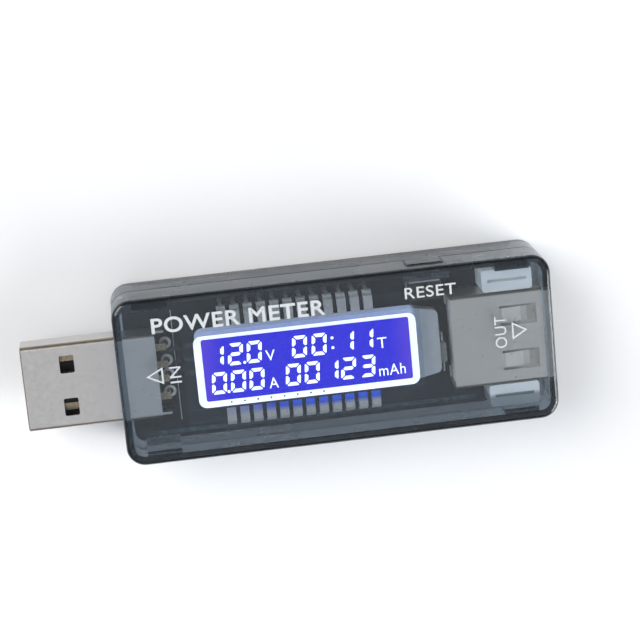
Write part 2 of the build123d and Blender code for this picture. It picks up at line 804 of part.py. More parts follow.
def lead_outline(start, reach, sheet):
    """Side view of a lead that leaves a package at its mid height, bends up and lands on the board."""
    knee = start + reach * 0.35
    return [
        (start, 0),
        (knee + sheet, 0),
        (knee + sheet, lead_drop - sheet),
        (start + reach, lead_drop - sheet),
        (start + reach, lead_drop),
        (knee, lead_drop),
        (knee, sheet),
        (start, sheet),
    ]


def lead_row(x, y, turn, distance, steps, width, reach):
    """Leads along one side of a package: turn is the side's direction, distance its distance out."""
    outward = Vector(1, 0, 0).rotate(Axis.Z, turn)
    along = Vector(0, -1, 0).rotate(Axis.Z, turn)
    side_plane = Plane((x, y, lead_z), x_dir=outward, z_dir=along)
    for step in steps:
        prism(side_plane.offset(step - width / 2), lead_outline(distance, reach, 0.15), width)


def spread(count, pitch):
    """Distances of evenly pitched places from their middle."""
    return [(i - (count - 1) / 2) * pitch for i in range(count)]


def package(x, y, length, width):
    """A moulded package that hangs a little below the board, with its lower edges broken."""
    block(around(x, length), around(y, width), (package_bottom, package_top))


controller_x = view_x + controller_shift
memory_x = view_x + memory_place[0]
regulator_x = view_x + regulator_place[0]
shunt_x = view_x + shunt_place[0]

with BuildPart() as controller_chip:
    package(controller_x, 0, controller_size, controller_size)
    chamfer(controller_chip.edges().filter_by(Axis.Z), controller_corner)
    # dimple that marks the first lead
    dimple_inset = controller_size / 2 - 3 * dimple_radius
    with BuildSketch(Plane.XY.offset(package_bottom)):
        with Locations((controller_x - dimple_inset, -dimple_inset)):
            Circle(dimple_radius)
    extrude(amount=dimple_depth, mode=Mode.SUBTRACT)
save(controller_chip, "controller_chip")

with BuildPart() as controller_leads:
    for turn in (0, 90, 180, 270):
        steps = spread(controller_leads_per_side, controller_lead_pitch)
        lead_row(controller_x, 0, turn, controller_size / 2, steps, 0.22, 1.0)
save(controller_leads, "controller_leads")

with BuildPart() as memory_chip:
    package(memory_x, memory_place[1], memory_length, memory_width)
    chamfer(memory_chip.faces().sort_by(Axis.Z)[0].edges(), package_chamfer)
save(memory_chip, "memory_chip")

with BuildPart() as memory_leads:
    for turn in (90, 270):
        lead_row(memory_x, memory_place[1], turn, memory_width / 2, spread(4, memory_lead_pitch), 0.4, 1.0)
save(memory_leads, "memory_leads")

with BuildPart() as regulator:
    package(regulator_x, regulator_place[1], regulator_length, regulator_width)
    chamfer(regulator.faces().sort_by(Axis.Z)[0].edges(), package_chamfer)
save(regulator, "voltage_regulator")

with BuildPart() as regulator_leads:
    for turn, count in ((90, 1), (270, 3)):
        lead_row(regulator_x, regulator_place[1], turn, regulator_width / 2, spread(count, regulator_lead_pitch),
                 0.4, 0.8)
save(regulator_leads, "regulator_leads")


def chip_body(x, y, length, width, thickness, end):
    """The middle of a surface-mounted chip part under the board."""
    block(around(x, length - 2 * end), around(y, width), (board_bottom - thickness + chip_relief, board_bottom))


def chip_ends(x, y, length, width, thickness, end):
    """The two metal ends of a surface-mounted chip part under the board."""
    for side in (-1, 1):
        outer = x + side * length / 2
        block((outer - side * end, outer), around(y, width), (board_bottom - thickness, board_bottom))


with BuildPart() as shunt:
    chip_body(shunt_x, shunt_place[1], shunt_length, shunt_width, chip_thickness, shunt_end)
save(shunt, "shunt_resistor")

with BuildPart() as shunt_ends:
    chip_ends(shunt_x, shunt_place[1], shunt_length, shunt_width, chip_thickness, shunt_end)
save(shunt_ends, "shunt_terminals")

for kind, places, thickness in (
    ("capacitor", capacitor_places, capacitor_thickness),
    ("resistor", resistor_places, chip_thickness),
):
    with BuildPart() as chips:
        for across, y in places:
            chip_body(view_x + across, y, chip_length, chip_width, thickness, chip_end)
    save(chips, f"chip_{kind}s")
    with BuildPart() as terminals:
        for across, y in places:
            chip_ends(view_x + across, y, chip_length, chip_width, thickness, chip_end)
    save(terminals, f"{kind}_terminals")
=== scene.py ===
"""The looks of an inline power meter: materials, printing, display digits, light and camera.

Lengths are in metres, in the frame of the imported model: +X from plug to socket, +Z out of the display.
"""

import math

import bmesh
import bpy
from mathutils import Matrix, Vector


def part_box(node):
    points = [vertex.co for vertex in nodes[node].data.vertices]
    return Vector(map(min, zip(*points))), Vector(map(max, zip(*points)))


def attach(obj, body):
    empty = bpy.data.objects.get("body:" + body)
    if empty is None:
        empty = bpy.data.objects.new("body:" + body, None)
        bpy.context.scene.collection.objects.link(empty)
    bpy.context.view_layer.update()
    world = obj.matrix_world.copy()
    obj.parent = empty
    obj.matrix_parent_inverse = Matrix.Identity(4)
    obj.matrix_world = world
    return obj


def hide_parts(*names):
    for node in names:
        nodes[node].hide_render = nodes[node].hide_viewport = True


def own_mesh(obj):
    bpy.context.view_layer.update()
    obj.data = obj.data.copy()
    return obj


MM = 0.001
BODY = "meter"

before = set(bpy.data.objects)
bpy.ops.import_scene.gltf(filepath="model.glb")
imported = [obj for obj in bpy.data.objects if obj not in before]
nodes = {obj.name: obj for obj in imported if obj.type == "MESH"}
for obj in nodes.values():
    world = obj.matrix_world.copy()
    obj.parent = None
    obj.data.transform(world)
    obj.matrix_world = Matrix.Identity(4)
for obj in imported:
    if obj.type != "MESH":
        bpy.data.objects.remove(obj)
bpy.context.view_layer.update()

# ---------------------------------------------------------------- places read from the frame

cover_low, cover_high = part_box("front_cover")
board_low, board_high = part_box("circuit_board")
window_low, window_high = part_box("front_polariser")
glass_low, glass_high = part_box("display_rear_glass")
socket_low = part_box("socket_shell")[0]
chip_low, chip_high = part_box("controller_chip")
memory_low, memory_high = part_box("memory_chip")
front_glass_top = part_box("display_front_glass")[1].z

face_z = cover_high.z
body_x = (cover_low.x + cover_high.x) / 2
window_x = (window_low.x + window_high.x) / 2
window_y = (window_low.y + window_high.y) / 2
chip_x = (chip_low.x + chip_high.x) / 2
chip_y = (chip_low.y + chip_high.y) / 2
pin_pitch = 1.84 * MM

# ---------------------------------------------------------------- camera

camera_offset = Vector((-25.1, 79.8, 307.8)) * MM
camera_yaw = math.radians(4.46)
camera_pitch = math.radians(13.95)
camera_roll = math.radians(5.48)
camera_lens = 126.1

camera_data = bpy.data.cameras.new("camera")
camera_data.lens = camera_lens
camera_data.sensor_width = 36.0
camera_data.clip_start = 0.01
camera_data.clip_end = 10.0
camera = bpy.data.objects.new("camera", camera_data)
bpy.context.scene.collection.objects.link(camera)
turn = Matrix.Rotation(-camera_yaw, 4, "Y") @ Matrix.Rotation(-camera_pitch, 4, "X")
turn = turn @ Matrix.Rotation(-camera_roll, 4, "Z")
camera.matrix_world = Matrix.Translation(Vector((body_x, 0, 0)) + camera_offset) @ turn
bpy.context.scene.camera = camera

# ---------------------------------------------------------------- light

bpy.context.scene.view_settings.view_transform = "Standard"
sky_colour = (0.95, 0.97, 1.0)
dim_below = 0.25
bright_above = 0.95


def studio_world(horizon, overhead):
    """A sky that is dim at the horizon and bright overhead, like the ceiling of a soft studio."""
    world = bpy.data.worlds.new("studio")
    bpy.context.scene.world = world
    world.use_nodes = True
    tree = world.node_tree
    background = tree.nodes["Background"]
    coordinates = tree.nodes.new("ShaderNodeTexCoord")
    split = tree.nodes.new("ShaderNodeSeparateXYZ")
    rise = tree.nodes.new("ShaderNodeMapRange")
    rise.interpolation_type = "SMOOTHSTEP"
    rise.inputs["From Min"].default_value = dim_below
    rise.inputs["From Max"].default_value = bright_above
    rise.inputs["To Min"].default_value = horizon
    rise.inputs["To Max"].default_value = overhead
    tree.links.new(coordinates.outputs["Generated"], split.inputs["Vector"])
    tree.links.new(split.outputs["Z"], rise.inputs["Value"])
    tree.links.new(rise.outputs["Result"], background.inputs["Strength"])
    background.inputs["Color"].default_value = (*sky_colour, 1)


def area_light(name, place, aim, size, power, colour=(1, 1, 1)):
    """A square soft box at a place, turned towards a point."""
    data = bpy.data.lights.new(name, "AREA")
    data.size = size
    data.energy = power
    data.color = colour
    light = bpy.data.objects.new(name, data)
    bpy.context.scene.collection.objects.link(light)
    towards = (Vector(aim) - Vector(place)).to_track_quat("-Z", "Y")
    light.matrix_world = Matrix.Translation(place) @ towards.to_matrix().to_4x4()


studio_world(horizon=0.12, overhead=0.59)
area_light("key", place=(-0.8, 0.5, 0.65), aim=(0, 0, 0), size=0.9, power=13.5)
area_light("fill", place=(0.9, -0.55, 0.4), aim=(0, 0, 0), size=0.8, power=15.0, colour=sky_colour)

# ---------------------------------------------------------------- material tools


class Material:
    """A node material with one Principled shader, and short ways to build on it."""

    def __init__(self, name, colour, roughness, metallic=0.0):
        self.data = bpy.data.materials.new(name)
        self.data.use_nodes = True
        self.tree = self.data.node_tree
        self.shader = self.tree.nodes["Principled BSDF"]
        self.output = self.tree.nodes["Material Output"]
        self.set("Base Color", (*colour, 1))
        self.set("Roughness", roughness)
        self.set("Metallic", metallic)

    def set(self, socket, value):
        """Sets a plain value on the shader."""
        self.shader.inputs[socket].default_value = value

    def node(self, kind, **values):
        """A new node, with its input sockets set by name (spaces as underscores)."""
        node = self.tree.nodes.new(kind)
        for key, value in values.items():
            node.inputs[key.replace("_", " ")].default_value = value
        return node

    def link(self, source, target):
        """Joins an output socket to an input socket."""
        self.tree.links.new(source, target)

    def maths(self, operation, *sources):
        """The result of a calculation on one or two sockets."""
        maths = self.node("ShaderNodeMath")
        maths.operation = operation
        for source, target in zip(sources, maths.inputs):
            self.link(source, target)
        return maths.outputs["Value"]

    def along(self, axis, space="Object"):
        """Where a point lies along an axis, in object space, or which way its surface faces."""
        coordinates = self.node("ShaderNodeTexCoord")
        split = self.node("ShaderNodeSeparateXYZ")
        self.link(coordinates.outputs[space], split.inputs["Vector"])
        return split.outputs[axis]

    def noise(self, size, detail=3.0, stretch=(1, 1, 1)):
        """Noise with features of about one size, in metres, in object space."""
        coordinates = self.node("ShaderNodeTexCoord")
        mapping = self.node("ShaderNodeMapping", Scale=stretch)
        noise = self.node("ShaderNodeTexNoise", Scale=1 / size, Detail=detail)
        self.link(coordinates.outputs["Object"], mapping.inputs["Vector"])
        self.link(mapping.outputs["Vector"], noise.inputs["Vector"])
        return noise.outputs["Fac"]

    def spread(self, source, low, high, start=0.3, end=0.7):
        """Maps a value from start..end to low..high."""
        values = {"From_Min": start, "From_Max": end, "To_Min": low, "To_Max": high}
        spread = self.node("ShaderNodeMapRange", **values)
        self.link(source, spread.inputs["Value"])
        return spread.outputs["Result"]

    def vary_roughness(self, source, low, high, start=0.3, end=0.7):
        """Lets a value drive the roughness between two limits."""
        self.link(self.spread(source, low, high, start, end), self.shader.inputs["Roughness"])

    def facing(self):
        """How nearly a surface lies flat in XY: 1 for the display face, 0 for the side walls."""
        return self.maths("ABSOLUTE", self.along("Z", "Normal"))

    def vary_colour(self, source, first, second, socket="Base Color"):
        """Mixes two colours by a value from 0 to 1."""
        mix = self.node("ShaderNodeMix")
        mix.data_type = "RGBA"
        colour_a, colour_b = [s for s in mix.inputs if s.type == "RGBA"]
        colour_a.default_value = (*first, 1)
        colour_b.default_value = (*second, 1)
        self.link(source, mix.inputs["Factor"])
        self.link(mix.outputs[2], self.shader.inputs[socket])

    def grade_colour(self, source, stops, socket="Base Color"):
        """Colours a value from 0 to 1 by (place, colour) stops."""
        ramp = self.node("ShaderNodeValToRGB")
        elements = ramp.color_ramp.elements
        while len(elements) < len(stops):
            elements.new(0.5)
        for element, (place, colour) in zip(elements, stops):
            element.position = place
            element.color = (*colour, 1)
        self.link(source, ramp.inputs["Fac"])
        self.link(ramp.outputs["Color"], self.shader.inputs[socket])

    def bump(self, source, depth, strength=1.0):
        """Raises the surface by up to a depth, in metres."""
        bump = self.node("ShaderNodeBump", Strength=strength, Distance=depth)
        self.link(source, bump.inputs["Height"])
        self.link(bump.outputs["Normal"], self.shader.inputs["Normal"])

    def let_lamps_through(self, tint):
        """Lets shadow rays pass straight through, so that what is inside clear plastic is lit."""
        path = self.node("ShaderNodeLightPath")
        clear = self.node("ShaderNodeBsdfTransparent", Color=(*tint, 1))
        mix = self.node("ShaderNodeMixShader")
        self.link(path.outputs["Is Shadow Ray"], mix.inputs["Fac"])
        self.link(self.shader.outputs["BSDF"], mix.inputs[1])
        self.link(clear.outputs["BSDF"], mix.inputs[2])
        self.link(mix.outputs["Shader"], self.output.inputs["Surface"])


def dress(material, *names):
    """Gives CAD nodes a material."""
    for name in names:
        for slot in nodes[name].material_slots:
            slot.material = material.data


# ---------------------------------------------------------------- materials


def smoke_plastic(name, side_shade_tint, edge_shade_tint):
    """Smoke-grey clear plastic: polished faces, side walls frosted by the mould, and painted shade that
    greys the side walls and darkens the rounded edges.
    """
    face_tint = (0.97, 0.98, 1.0)
    m = Material(name, face_tint, 0.06)
    m.set("IOR", 1.49)
    m.set("Transmission Weight", 0.994)
    flat = m.facing()
    # painted shade: the colour greys on the side walls and goes dark on the rounded edges, by which way
    # the surface faces
    m.grade_colour(flat, [(0.05, side_shade_tint), (0.4, edge_shade_tint), (0.8, edge_shade_tint), (0.97, face_tint)])
    streaks = m.noise(1.5 * MM, 3.0, (0.15, 0.15, 1))
    marks = m.spread(m.noise(9 * MM, 4.0), 0.85, 1.25)
    frost = m.spread(flat, 0.26, 0.05, 0.25, 0.95)
    m.link(m.maths("MULTIPLY", frost, marks), m.shader.inputs["Roughness"])
    m.bump(streaks, 0.0015 * MM, 0.3)
    m.let_lamps_through((0.93, 0.94, 0.95))
    absorb = m.node("ShaderNodeVolumeAbsorption", Color=(0.20, 0.33, 0.42, 1), Density=380.0)
    m.link(absorb.outputs["Volume"], m.output.inputs["Volume"])
    return m


def plated_sheet(name, colour, dark, tilt=0.97):
    """Satin plated sheet with a fine rolled grain along X, with painted shade: brown where it tilts out of
    flat and darker on its upright sides.
    """
    m = Material(name, colour, 0.3, 1.0)
    # painted shade: a brown band where the sheet tilts out of flat, and the dark colour on its upright
    # sides
    painted_shade_brown = (0.30, 0.25, 0.20)
    stops = [(0.05, dark), (0.35, painted_shade_brown), (tilt - 0.1, painted_shade_brown), (tilt, colour)]
    m.grade_colour(m.facing(), stops)
    m.vary_roughness(m.noise(0.5 * MM, 4.0), 0.27, 0.42)
    m.bump(m.noise(0.12 * MM, 2.0, (0.06, 1, 1)), 0.001 * MM, 0.25)
    return m


def contact_plate():
    """Thin gold flash, mottled at random; its dull brown darkness is painted shade for contacts deep in
    the plug and socket.
    """
    m = Material("contact_plate", (0.50, 0.42, 0.32), 0.3, 1.0)
    m.vary_colour(m.spread(m.noise(0.8 * MM), 0, 1), (0.52, 0.44, 0.33), (0.40, 0.33, 0.24))
    m.vary_roughness(m.noise(0.3 * MM), 0.22, 0.40)
    return m


def tinned_pad():
    """Pale tinned ring, dull enough to catch light from all round."""
    m = Material("tinned_pad", (0.85, 0.78, 0.62), 0.4)
    m.vary_colour(m.spread(m.noise(0.5 * MM), 0, 1), (1.0, 0.93, 0.78), (0.90, 0.82, 0.66))
    m.vary_roughness(m.noise(0.3 * MM), 0.3, 0.55)
    m.bump(m.noise(0.2 * MM), 0.01 * MM, 0.5)
    return m


def tin(name):
    """Tin plate, before its colour is chosen."""
    m = Material(name, (0.66, 0.65, 0.62), 0.35, 0.9)
    m.vary_roughness(m.noise(0.3 * MM), 0.26, 0.48)
    m.bump(m.noise(0.15 * MM), 0.004 * MM, 0.4)
    return m


def plain_tin():
    """Tin plate with a faint mottle."""
    m = tin("tin_plate")
    m.vary_colour(m.spread(m.noise(0.6 * MM), 0, 1), (0.74, 0.73, 0.71), (0.56, 0.54, 0.51))
    return m


def lit_tin():
    """Tin clips by the lower edge of the glass, which catch blue light from the display."""
    glow = 1.5
    m = tin("clip_tin")
    onto_glass = m.spread(m.along("Y"), 0.0, glow, glass_low.y + 0.5 * MM, glass_low.y + 1.4 * MM)
    to_the_right = m.spread(m.along("X"), 0.15, 1.0, window_x - 11 * MM, window_x - 2 * MM)
    light = m.maths("MULTIPLY", onto_glass, to_the_right)
    m.vary_colour(m.spread(light, 0, 1, 0, 0.7 * glow), (0.66, 0.64, 0.61), (0.04, 0.07, 0.25))
    m.set("Emission Color", (0.01, 0.05, 0.42, 1))
    m.link(light, m.shader.inputs["Emission Strength"])
    return m


def white_nylon():
    """Ivory-white nylon of the socket tongue."""
    m = Material("white_plastic", (0.80, 0.80, 0.76), 0.45)
    m.vary_colour(m.spread(m.noise(3 * MM), 0, 1), (0.83, 0.83, 0.79), (0.74, 0.73, 0.68))
    m.vary_roughness(m.noise(0.6 * MM), 0.38, 0.56)
    m.bump(m.noise(0.1 * MM, 2.0), 0.003 * MM, 0.4)
    return m


def solder_mask():
    """Dark slate board lacquer over a faint glass weave."""
    m = Material("solder_mask", (0.015, 0.023, 0.030), 0.3)
    m.vary_colour(m.spread(m.noise(5 * MM, 4.0), 0, 1), (0.010, 0.017, 0.024), (0.021, 0.031, 0.039))
    m.set("Specular IOR Level", 0.15)
    m.vary_roughness(m.noise(1.5 * MM, 3.0), 0.22, 0.4)
    coordinates = m.node("ShaderNodeTexCoord")
    weave = m.node("ShaderNodeTexChecker", Scale=1 / (0.25 * MM))
    m.link(coordinates.outputs["Object"], weave.inputs["Vector"])
    m.bump(weave.outputs["Fac"], 0.002 * MM, 0.25)
    return m


def solder_mask_over_copper():
    """The same lacquer where copper under it makes it paler and smoother."""
    m = Material("masked_copper", (0.035, 0.060, 0.070), 0.3)
    m.vary_colour(m.spread(m.noise(1.5 * MM, 4.0), 0, 1), (0.030, 0.052, 0.062), (0.046, 0.074, 0.086))
    m.vary_roughness(m.noise(0.8 * MM, 3.0), 0.2, 0.34)
    return m


def black_resin():
    """Matt black moulding compound of chips and switch parts."""
    m = Material("black_moulding", (0.018, 0.018, 0.020), 0.5)
    m.vary_colour(m.spread(m.noise(1.0 * MM), 0, 1), (0.015, 0.015, 0.017), (0.032, 0.032, 0.034))
    m.vary_roughness(m.noise(0.2 * MM), 0.42, 0.62)
    m.bump(m.noise(0.06 * MM, 2.0), 0.004 * MM, 0.5)
    return m


def tan_ceramic():
    """Tan ceramic of the chip capacitors."""
    m = Material("tan_ceramic", (0.45, 0.30, 0.17), 0.5)
    m.vary_colour(m.spread(m.noise(0.6 * MM), 0, 1), (0.48, 0.33, 0.19), (0.36, 0.23, 0.12))
    m.vary_roughness(m.noise(0.3 * MM), 0.4, 0.6)
    m.bump(m.noise(0.08 * MM), 0.003 * MM, 0.5)
    return m


def clear_glass():
    """Thin display glass: mostly straight-through, with a mirror sheen that rises at grazing angles."""
    m = Material("display_glass", (0.62, 0.72, 0.78), 0.03)
    m.vary_roughness(m.noise(6 * MM), 0.02, 0.06)
    clear = m.node("ShaderNodeBsdfTransparent", Color=(0.965, 0.98, 0.99, 1))
    sheen = m.node("ShaderNodeFresnel", IOR=1.5)
    share = m.spread(sheen.outputs["Fac"], 0.005, 0.7, 0.04, 1.0)
    faces = m.spread(m.facing(), 0.12, 1.0, 0.5, 0.9)
    mix = m.node("ShaderNodeMixShader")
    m.link(m.maths("MULTIPLY", share, faces), mix.inputs["Fac"])
    m.link(clear.outputs["BSDF"], mix.inputs[1])
    m.link(m.shader.outputs["BSDF"], mix.inputs[2])
    m.link(mix.outputs["Shader"], m.output.inputs["Surface"])
    return m


def lit_film():
    """The blue background of the display, brighter in the middle and violet towards its ends."""
    m = Material("blue_film", (0.01, 0.008, 0.20), 0.25)
    m.set("Specular IOR Level", 0.15)
    across = m.maths("ABSOLUTE", m.spread(m.along("X"), -1, 1, window_low.x, window_high.x))
    ends = m.spread(across, 0, 1, 0.80, 1.03)
    m.vary_colour(ends, (0.012, 0.008, 0.90), (0.14, 0.055, 0.86), "Emission Color")
    m.set("Emission Strength", 0.84)
    m.vary_roughness(m.noise(2 * MM), 0.2, 0.35)
    return m


def frosted_guide():
    """Milky light guide: it glows under the display and is only lit from outside at its tail."""
    m = Material("frosted_acrylic", (0.50, 0.50, 0.50), 0.35)
    m.vary_colour(m.spread(m.noise(2 * MM), 0, 1), (0.54, 0.54, 0.53), (0.47, 0.47, 0.46))
    glow_end = window_high.x + 0.9 * MM
    glow = m.spread(m.along("X"), 0.5, 0.0, glow_end - 0.3 * MM, glow_end + 0.3 * MM)
    m.set("Emission Color", (0.55, 0.65, 1.0, 1))
    m.link(glow, m.shader.inputs["Emission Strength"])
    m.vary_roughness(m.noise(0.5 * MM), 0.3, 0.5)
    m.bump(m.noise(0.3 * MM), 0.004 * MM, 0.4)
    return m


def glowing_rim():
    """White rim round the display, lit from below and a little uneven."""
    m = Material("glowing_rim", (0.8, 0.82, 0.85), 0.4)
    patches = m.spread(m.noise(2.5 * MM), 0, 1)
    m.vary_colour(patches, (0.95, 0.97, 1.0), (0.80, 0.85, 1.0), "Emission Color")
    m.link(m.spread(m.noise(1.2 * MM), 0.95, 1.3), m.shader.inputs["Emission Strength"])
    m.vary_roughness(m.noise(0.5 * MM), 0.3, 0.5)
    return m


def frosted_clear():
    """Frosted clear plastic, drawn lengthwise, with painted shade that darkens it where it stands by the
    lower wall.
    """
    m = Material("clear_plastic", (0.55, 0.58, 0.60), 0.3)
    m.set("IOR", 1.45)
    m.set("Transmission Weight", 0.15)
    # painted shade: darker towards the lower wall
    lower_wall_shade = m.spread(m.along("Y"), 1, 0, socket_low.y - 1.9 * MM, socket_low.y - 1.3 * MM)
    m.vary_colour(lower_wall_shade, (0.88, 0.86, 0.83), (0.26, 0.28, 0.29))
    m.vary_roughness(m.noise(2 * MM, 1.0), 0.3, 0.4)
    m.bump(m.noise(0.4 * MM, 1.0, (0.05, 1, 1)), 0.001 * MM, 0.2)
    return m


def white_film():
    """Matt white reflector film."""
    m = Material("white_film", (0.85, 0.86, 0.87), 0.5)
    m.vary_colour(m.spread(m.noise(2 * MM), 0, 1), (0.86, 0.87, 0.88), (0.78, 0.79, 0.80))
    m.vary_roughness(m.noise(0.5 * MM), 0.4, 0.6)
    return m


def lamp_resin():
    """Dull clear resin of the lamp."""
    m = Material("lamp_resin", (0.25, 0.25, 0.23), 0.3)
    m.vary_colour(m.spread(m.noise(0.5 * MM), 0, 1), (0.28, 0.28, 0.26), (0.20, 0.20, 0.17))
    m.vary_roughness(m.noise(0.3 * MM), 0.2, 0.4)
    return m


def white_ink():
    """Greyish-white printing ink."""
    m = Material("white_ink", (0.52, 0.56, 0.57), 0.45)
    m.vary_colour(m.spread(m.noise(0.5 * MM), 0, 1), (0.64, 0.67, 0.68), (0.56, 0.59, 0.60))
    m.vary_roughness(m.noise(0.2 * MM), 0.4, 0.6)
    m.bump(m.noise(0.08 * MM), 0.003 * MM, 0.4)
    return m


def lit_segment():
    """Lit display segments, nearly white."""
    m = Material("lit_segment", (0.8, 0.85, 0.95), 0.3)
    patches = m.spread(m.noise(1 * MM), 0, 1)
    m.vary_colour(patches, (0.92, 0.94, 1.0), (0.84, 0.88, 1.0), "Emission Color")
    m.set("Emission Strength", 1.3)
    m.vary_roughness(m.noise(0.4 * MM), 0.25, 0.4)
    return m


def floor_paper():
    """Plain pale paper under the meter."""
    m = Material("floor_paper", (0.88, 0.88, 0.88), 0.7)
    m.vary_colour(m.spread(m.noise(20 * MM), 0, 1), (0.885, 0.885, 0.885), (0.87, 0.87, 0.87))
    m.bump(m.noise(0.4 * MM), 0.01 * MM, 0.3)
    return m


# the side and edge tints are painted shade
smoke = smoke_plastic("smoke_plastic", side_shade_tint=(0.56, 0.59, 0.62), edge_shade_tint=(0.07, 0.08, 0.09))
cap_plastic = smoke_plastic("button_plastic", side_shade_tint=(0.50, 0.54, 0.58), edge_shade_tint=(0.30, 0.32, 0.34))
# the dark colours are painted shade for upright sides
nickel = plated_sheet("nickel_plate", (0.71, 0.69, 0.68), dark=(0.65, 0.63, 0.62))
socket_metal = plated_sheet("socket_plate", (0.90, 0.82, 0.74), dark=(0.80, 0.72, 0.64), tilt=0.999)
steel = plated_sheet("spring_steel", (0.66, 0.66, 0.67), dark=(0.54, 0.54, 0.55))
lead_tin = plain_tin()
clip_tin = lit_tin()
nylon = white_nylon()
lacquer = solder_mask()
resin = black_resin()
ink = white_ink()
segment_light = lit_segment()

dress(smoke, "front_cover", "rear_cover")
dress(cap_plastic, "reset_button")
dress(nickel, "plug_shell")
dress(socket_metal, "socket_shell")
dress(steel, "switch_cover")
dress(contact_plate(), "plug_contacts", "socket_contacts")
dress(tinned_pad(), "board_pads", "solder_joints")
dress(clip_tin, "display_pins_left")
dress(lead_tin, "display_pins_right", "lamp_leads", "controller_leads", "memory_leads")
dress(lead_tin, "regulator_leads", "switch_terminals", "shunt_terminals", "capacitor_terminals")
dress(lead_tin, "resistor_terminals")
dress(nylon, "socket_insulator")
dress(lacquer, "circuit_board")
dress(resin, "controller_chip", "memory_chip", "voltage_regulator", "switch_body", "switch_plunger")
dress(resin, "chip_resistors", "shunt_resistor", "plug_insulator")
dress(tan_ceramic(), "chip_capacitors")
dress(clear_glass(), "display_front_glass", "display_rear_glass")
dress(lit_film(), "front_polariser", "rear_polariser")
dress(frosted_guide(), "light_guide")
dress(white_film(), "backlight_reflector")
dress(lamp_resin(), "backlight_lamp")
dress(frosted_clear(), "socket_spacer_right", "socket_spacer_left")

# ---------------------------------------------------------------- piece tools


def add_piece(name, mesh, material):
    """Links a finished mesh as a piece that rides on the meter."""
    piece = bpy.data.objects.new(name, mesh)
    bpy.context.scene.collection.objects.link(piece)
    mesh.materials.clear()
    mesh.materials.append(material.data)
    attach(piece, BODY)
    return piece


def flat_slabs(name, outlines, z, thickness):
    """A mesh of thin slabs standing on one height, one for each outline in the XY plane."""
    build = bmesh.new()
    for outline in outlines:
        low = [build.verts.new((x, y, z)) for x, y in outline]
        high = [build.verts.new((x, y, z + thickness)) for x, y in outline]
        build.faces.new(list(reversed(low)))
        build.faces.new(high)
        for i in range(len(outline)):
            j = (i + 1) % len(outline)
            build.faces.new((low[i], low[j], high[j], high[i]))
    bmesh.ops.recalc_face_normals(build, faces=build.faces)
    mesh = bpy.data.meshes.new(name)
    build.to_mesh(mesh)
    build.free()
    return mesh


def embolden(mesh, weight):
    """Moves the sides of flat lettering outwards by a distance, keeping its corners sharp."""
    build = bmesh.new()
    build.from_mesh(mesh)
    bmesh.ops.remove_doubles(build, verts=build.verts, dist=1e-7)
    build.normal_update()
    shifts = []
    for vertex in build.verts:
        sides = [face.normal for face in vertex.link_faces if abs(face.normal.z) < 0.5]
        total = sum(sides, Vector())
        facing = total.normalized()
        reach = max(0.5, min(facing.dot(side) for side in sides))
        shifts.append(facing * (weight / reach))
    for vertex, shift in zip(build.verts, shifts):
        vertex.co += Vector((shift.x, shift.y, 0))
    build.to_mesh(mesh)
    build.free()


def letter_mesh(name, words, height, width, centre, turn, z, thickness, weight):
    """Raised lettering in the built-in font, fitted to a height and width and centred on a point."""
    curve = bpy.data.curves.new(name, "FONT")
    curve.body = words
    curve.align_x = "CENTER"
    curve.extrude = 0.05
    curve.space_character = 1.08
    lettering = bpy.data.objects.new(name, curve)
    bpy.context.scene.collection.objects.link(lettering)
    bpy.context.view_layer.update()
    mesh = bpy.data.meshes.new_from_object(lettering)
    bpy.data.objects.remove(lettering)
    low = Vector([min(v.co[i] for v in mesh.vertices) for i in range(3)])
    high = Vector([max(v.co[i] for v in mesh.vertices) for i in range(3)])
    middle = (low + high) / 2
    size = high - low
    scale = Vector((width / size.x, height / size.y, thickness / size.z))
    mesh.transform(Matrix.Diagonal((*scale, 1)) @ Matrix.Translation(-middle))
    embolden(mesh, weight)
    place = Matrix.Translation((centre[0], centre[1], z + thickness / 2))
    mesh.transform(place @ Matrix.Rotation(turn, 4, "Z"))
    return mesh


# ---------------------------------------------------------------- reset dome under the button, copied onto a mesh of its own

dome_mesh = nodes["switch_dome"].data.copy()
dome_mesh.name = "reset_dome"
dome = add_piece("reset_dome", dome_mesh, steel)
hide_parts("switch_dome")
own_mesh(dome)

# ---------------------------------------------------------------- printing on the face

ink_thickness = 0.012 * MM


def print_words(name, words, height, width, centre, turn, weight):
    """White lettering on the display face, placed from the middle of the casing."""
    spot = (body_x + centre[0], centre[1])
    mesh = letter_mesh(name, words, height, width, spot, turn, face_z, ink_thickness, weight)
    add_piece(name, mesh, ink)


def triangle_outline(tip_x, base_x, middle_y, half_width, stroke):
    """A triangle's three sides as flat bars, pointing along X."""
    tip = Vector((tip_x, middle_y))
    upper = Vector((base_x, middle_y + half_width))
    lower = Vector((base_x, middle_y - half_width))
    corners = [tip, upper, lower]
    centre = sum(corners, Vector((0, 0))) / 3
    inner = []
    for corner in corners:
        away = corner - centre
        inner.append(corner - away.normalized() * stroke * 2)
    bars = []
    for i in range(3):
        j = (i + 1) % 3
        bars.append([corners[i], corners[j], inner[j], inner[i]])
    return bars


# each word: piece name, words, height, width, place across and up, turn in degrees, added weight
face_words = [
    ("print_title", "POWER METER", 2.07, 23.6, -13.1, 7.85, 0, 0.06),
    ("print_reset", "RESET", 1.55, 7.05, 13.4, 8.4, 0, 0.02),
    ("print_in", "IN", 1.55, 2.3, -22.4, 0.77, 90, 0.0),
    ("print_out", "OUT", 1.6, 4.5, 22.65, 1.45, 90, 0.0),
]
for name, words, height, width, across, up, degrees, weight in face_words:
    spot = (across * MM, up * MM)
    print_words(name, words, height * MM, width * MM, spot, math.radians(degrees), weight * MM)

